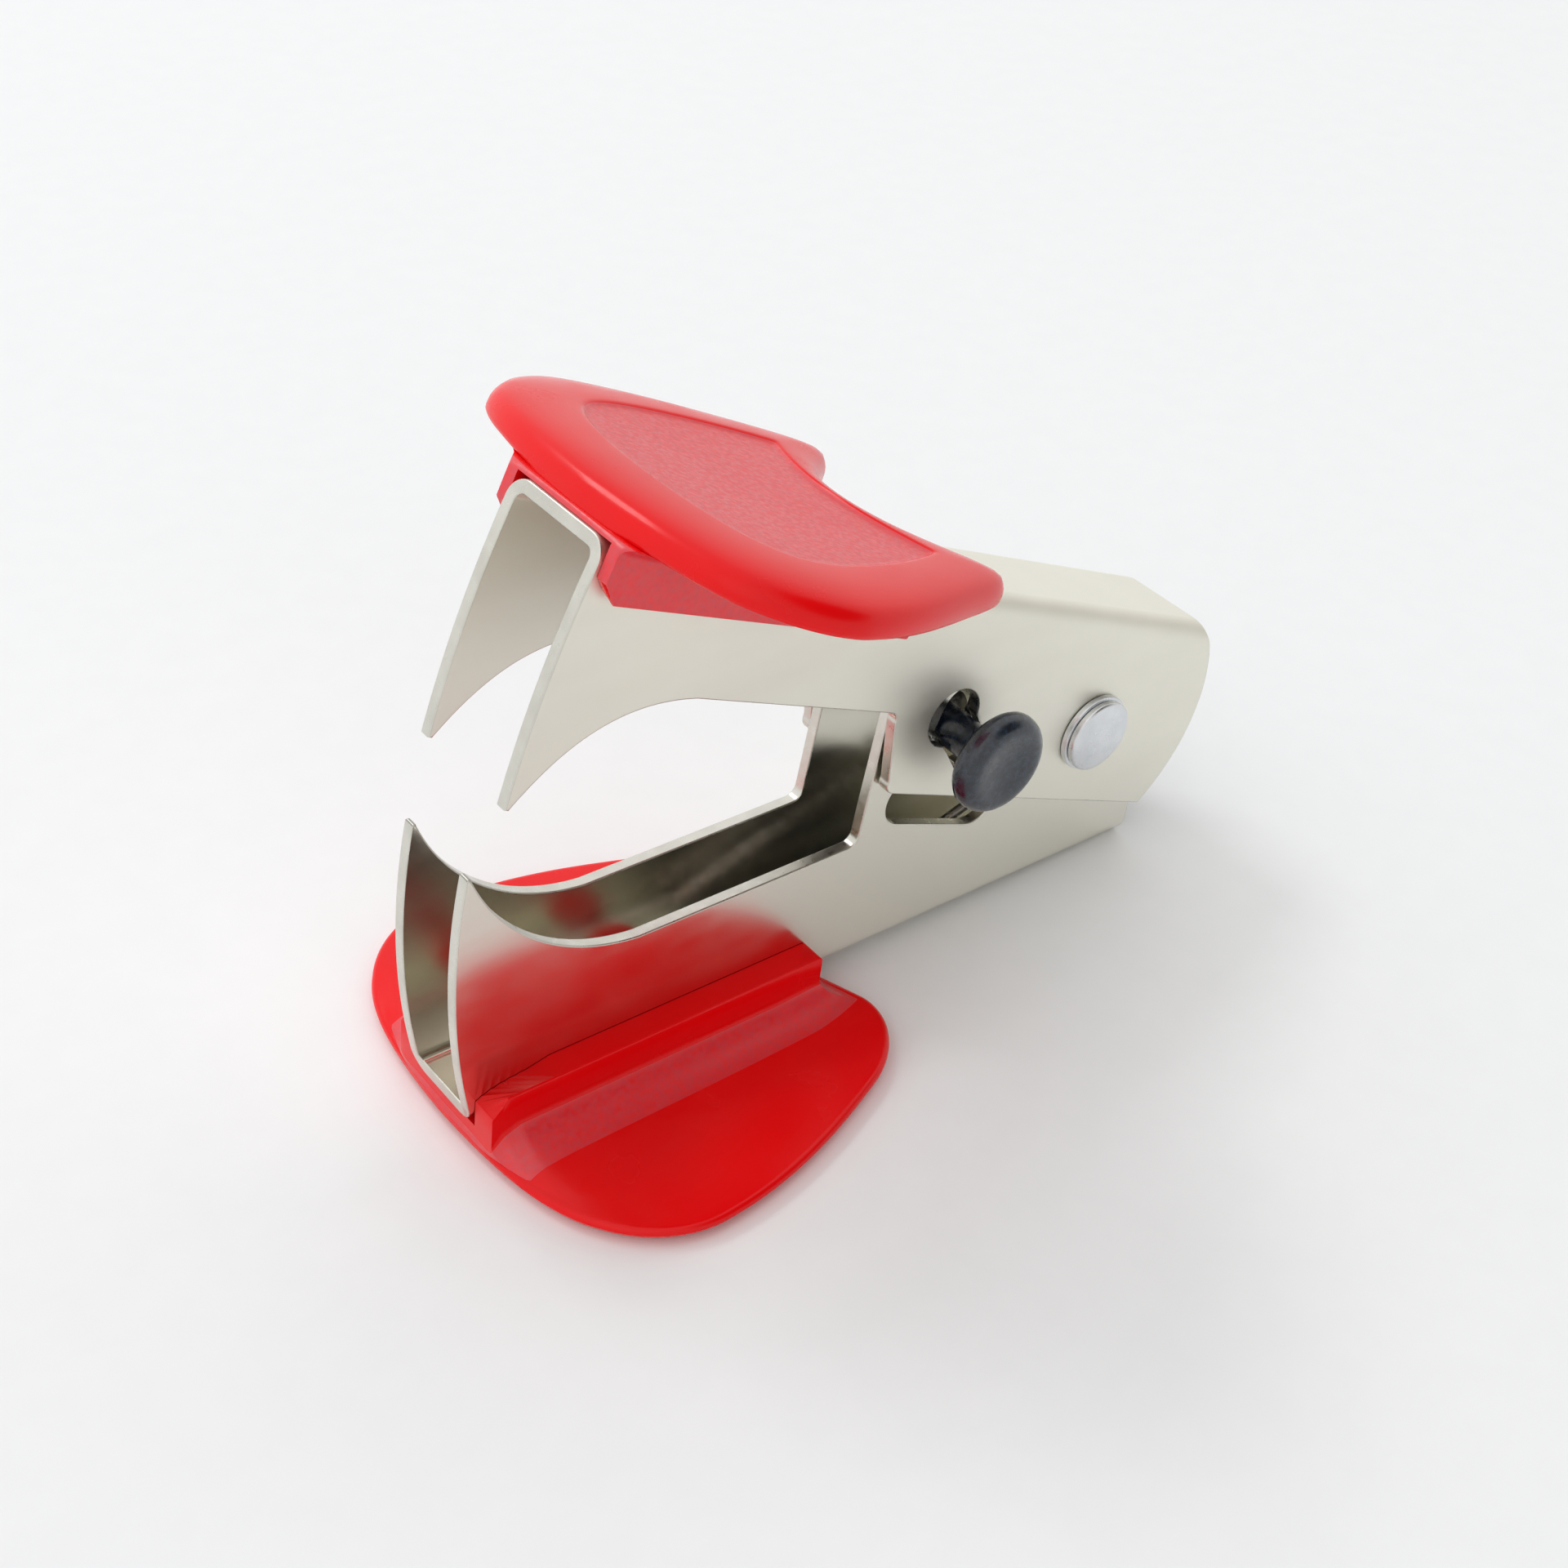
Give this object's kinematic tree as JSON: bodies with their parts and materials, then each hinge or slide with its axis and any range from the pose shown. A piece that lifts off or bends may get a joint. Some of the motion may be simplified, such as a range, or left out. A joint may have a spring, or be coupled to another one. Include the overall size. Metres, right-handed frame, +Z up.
{
  "type": "staple remover",
  "caption": "Jaw-type staple remover: two nickel-plated channel jaws with fangs, sprung on one rivet, with moulded finger grips and a sliding lock button.",
  "frame": {"origin": "centre of the bounding box in X and Y, on the table that the open remover stands on", "axes": "+X from the fangs to the pivot, +Z up, -Y towards the lock button"},
  "size_m": [0.0662, 0.0362, 0.0468],
  "materials": {
    "nickel_steel": "bright nickel plate",
    "rivet_steel": "zinc plate, satin",
    "spring_steel": "drawn wire",
    "red_plastic": "gloss, fine grain in the finger dish",
    "black_plastic": "gloss"
  },
  "bodies": {
    "lower_half": {"lower_jaw": "nickel_steel", "lower_grip": "red_plastic", "pivot_rivet": "rivet_steel", "rivet_washer_near": "rivet_steel", "rivet_washer_far": "rivet_steel", "torsion_spring": "spring_steel"},
    "upper_half": {"upper_jaw": "nickel_steel", "upper_grip": "red_plastic"},
    "lock": {"lock_button": "black_plastic", "lock_clip": "spring_steel"}
  },
  "joints": [
    {"name": "jaw_pivot", "type": "hinge", "parent": "lower_half", "child": "upper_half", "pos_m": [0.02065, 0, 0.01396], "axis": [0, -1, 0], "range_deg": [0, 22.5], "stiffness_Nm_per_rad": 0.35, "springref_deg": -20.05, "deforming": ["torsion_spring"]},
    {"name": "lock_slide", "type": "slide", "parent": "upper_half", "child": "lock", "axis": [0.4825, 0, -0.8759], "range_m": [0, 0.0022]}
  ]
}
